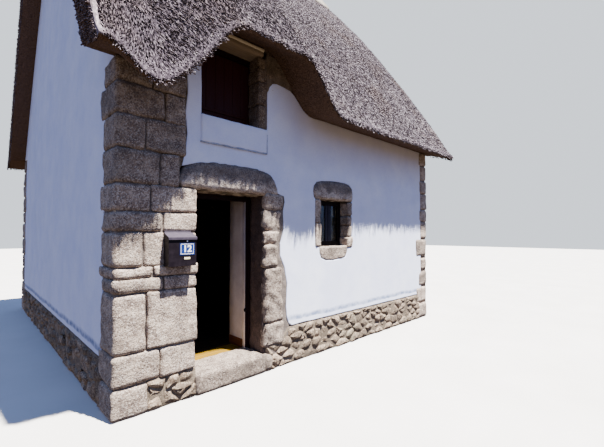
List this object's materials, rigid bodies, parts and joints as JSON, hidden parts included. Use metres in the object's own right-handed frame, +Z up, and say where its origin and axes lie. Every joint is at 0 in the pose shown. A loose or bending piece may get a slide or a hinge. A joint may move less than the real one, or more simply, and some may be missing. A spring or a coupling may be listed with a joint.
{
  "type": "thatched cottage",
  "caption": "Small thatched granite cottage with limewashed walls, dressed stone openings, an eyebrow over the loft opening, a swinging front door and a lidded letterbox.",
  "frame": {"origin": "on the ground under the middle of the roof, at the bottom centre of the bounding box", "axes": "+X runs to the right along the front, +Y from the front wall towards the back, +Z up"},
  "size_m": [6.1, 7.3, 8.86],
  "materials": {
    "rubble_granite": "weathered",
    "dressed_granite": "hammer dressed",
    "limewash": "chalky matt",
    "reed_thatch": "weathered reed",
    "ridge_mortar": "rough",
    "old_oak": "worn",
    "dark_red_paint": "satin",
    "floor_boards": "worn",
    "window_glass": "polished",
    "black_iron": "forged",
    "box_paint": "satin",
    "blue_enamel": "gloss"
  },
  "bodies": {
    "cottage": {"thatch_front": "reed_thatch", "thatch_back": "reed_thatch", "ridge_cap": "ridge_mortar", "chimney_stack": "dressed_granite", "ceiling_beam_1": "old_oak", "ceiling_beam_2": "old_oak", "ceiling_beam_3": "old_oak", "loft_floor": "floor_boards", "front_wall_left": "rubble_granite", "front_wall_over_door": "rubble_granite", "front_wall_right": "rubble_granite", "back_wall": "rubble_granite", "left_gable_wall": "rubble_granite", "right_gable_wall": "rubble_granite", "front_render": "limewash", "back_render": "limewash", "left_gable_render": "limewash", "right_gable_render": "limewash", "quoins_front_left": "dressed_granite", "quoins_front_right": "dressed_granite", "quoins_back_left": "dressed_granite", "quoins_back_right": "dressed_granite", "door_lintel": "dressed_granite", "door_inner_lintel": "old_oak", "door_jamb_left": "dressed_granite", "door_jamb_right": "dressed_granite", "door_sill": "dressed_granite", "window_lintel": "dressed_granite", "window_sill": "dressed_granite", "window_jamb_left": "dressed_granite", "window_jamb_right": "dressed_granite", "loft_sill": "limewash", "loft_lintel": "old_oak", "loft_jamb": "dressed_granite", "ground_floor": "floor_boards", "window_frame": "dark_red_paint", "window_glass": "window_glass", "loft_frame": "dark_red_paint", "loft_hatch": "dark_red_paint", "door_frame": "dark_red_paint", "door_pintle_lower": "black_iron", "door_pintle_upper": "black_iron", "letterbox_body": "box_paint", "number_plate": "blue_enamel"},
    "door": {"front_door": "dark_red_paint", "door_lock": "black_iron", "door_strap_lower": "black_iron", "door_strap_upper": "black_iron"},
    "lid": {"letterbox_lid": "box_paint"}
  },
  "joints": [
    {"name": "front_door_hinge", "type": "hinge", "parent": "cottage", "child": "door", "pos_m": [-2.002, -2.796, 1.1], "axis": [0, 0, 1], "range_deg": [-90, 0]},
    {"name": "letterbox_lid_hinge", "type": "hinge", "parent": "cottage", "child": "lid", "pos_m": [-2.2445, -3.2083, 1.624], "axis": [-1, 0, 0], "range_deg": [0, 85]}
  ]
}
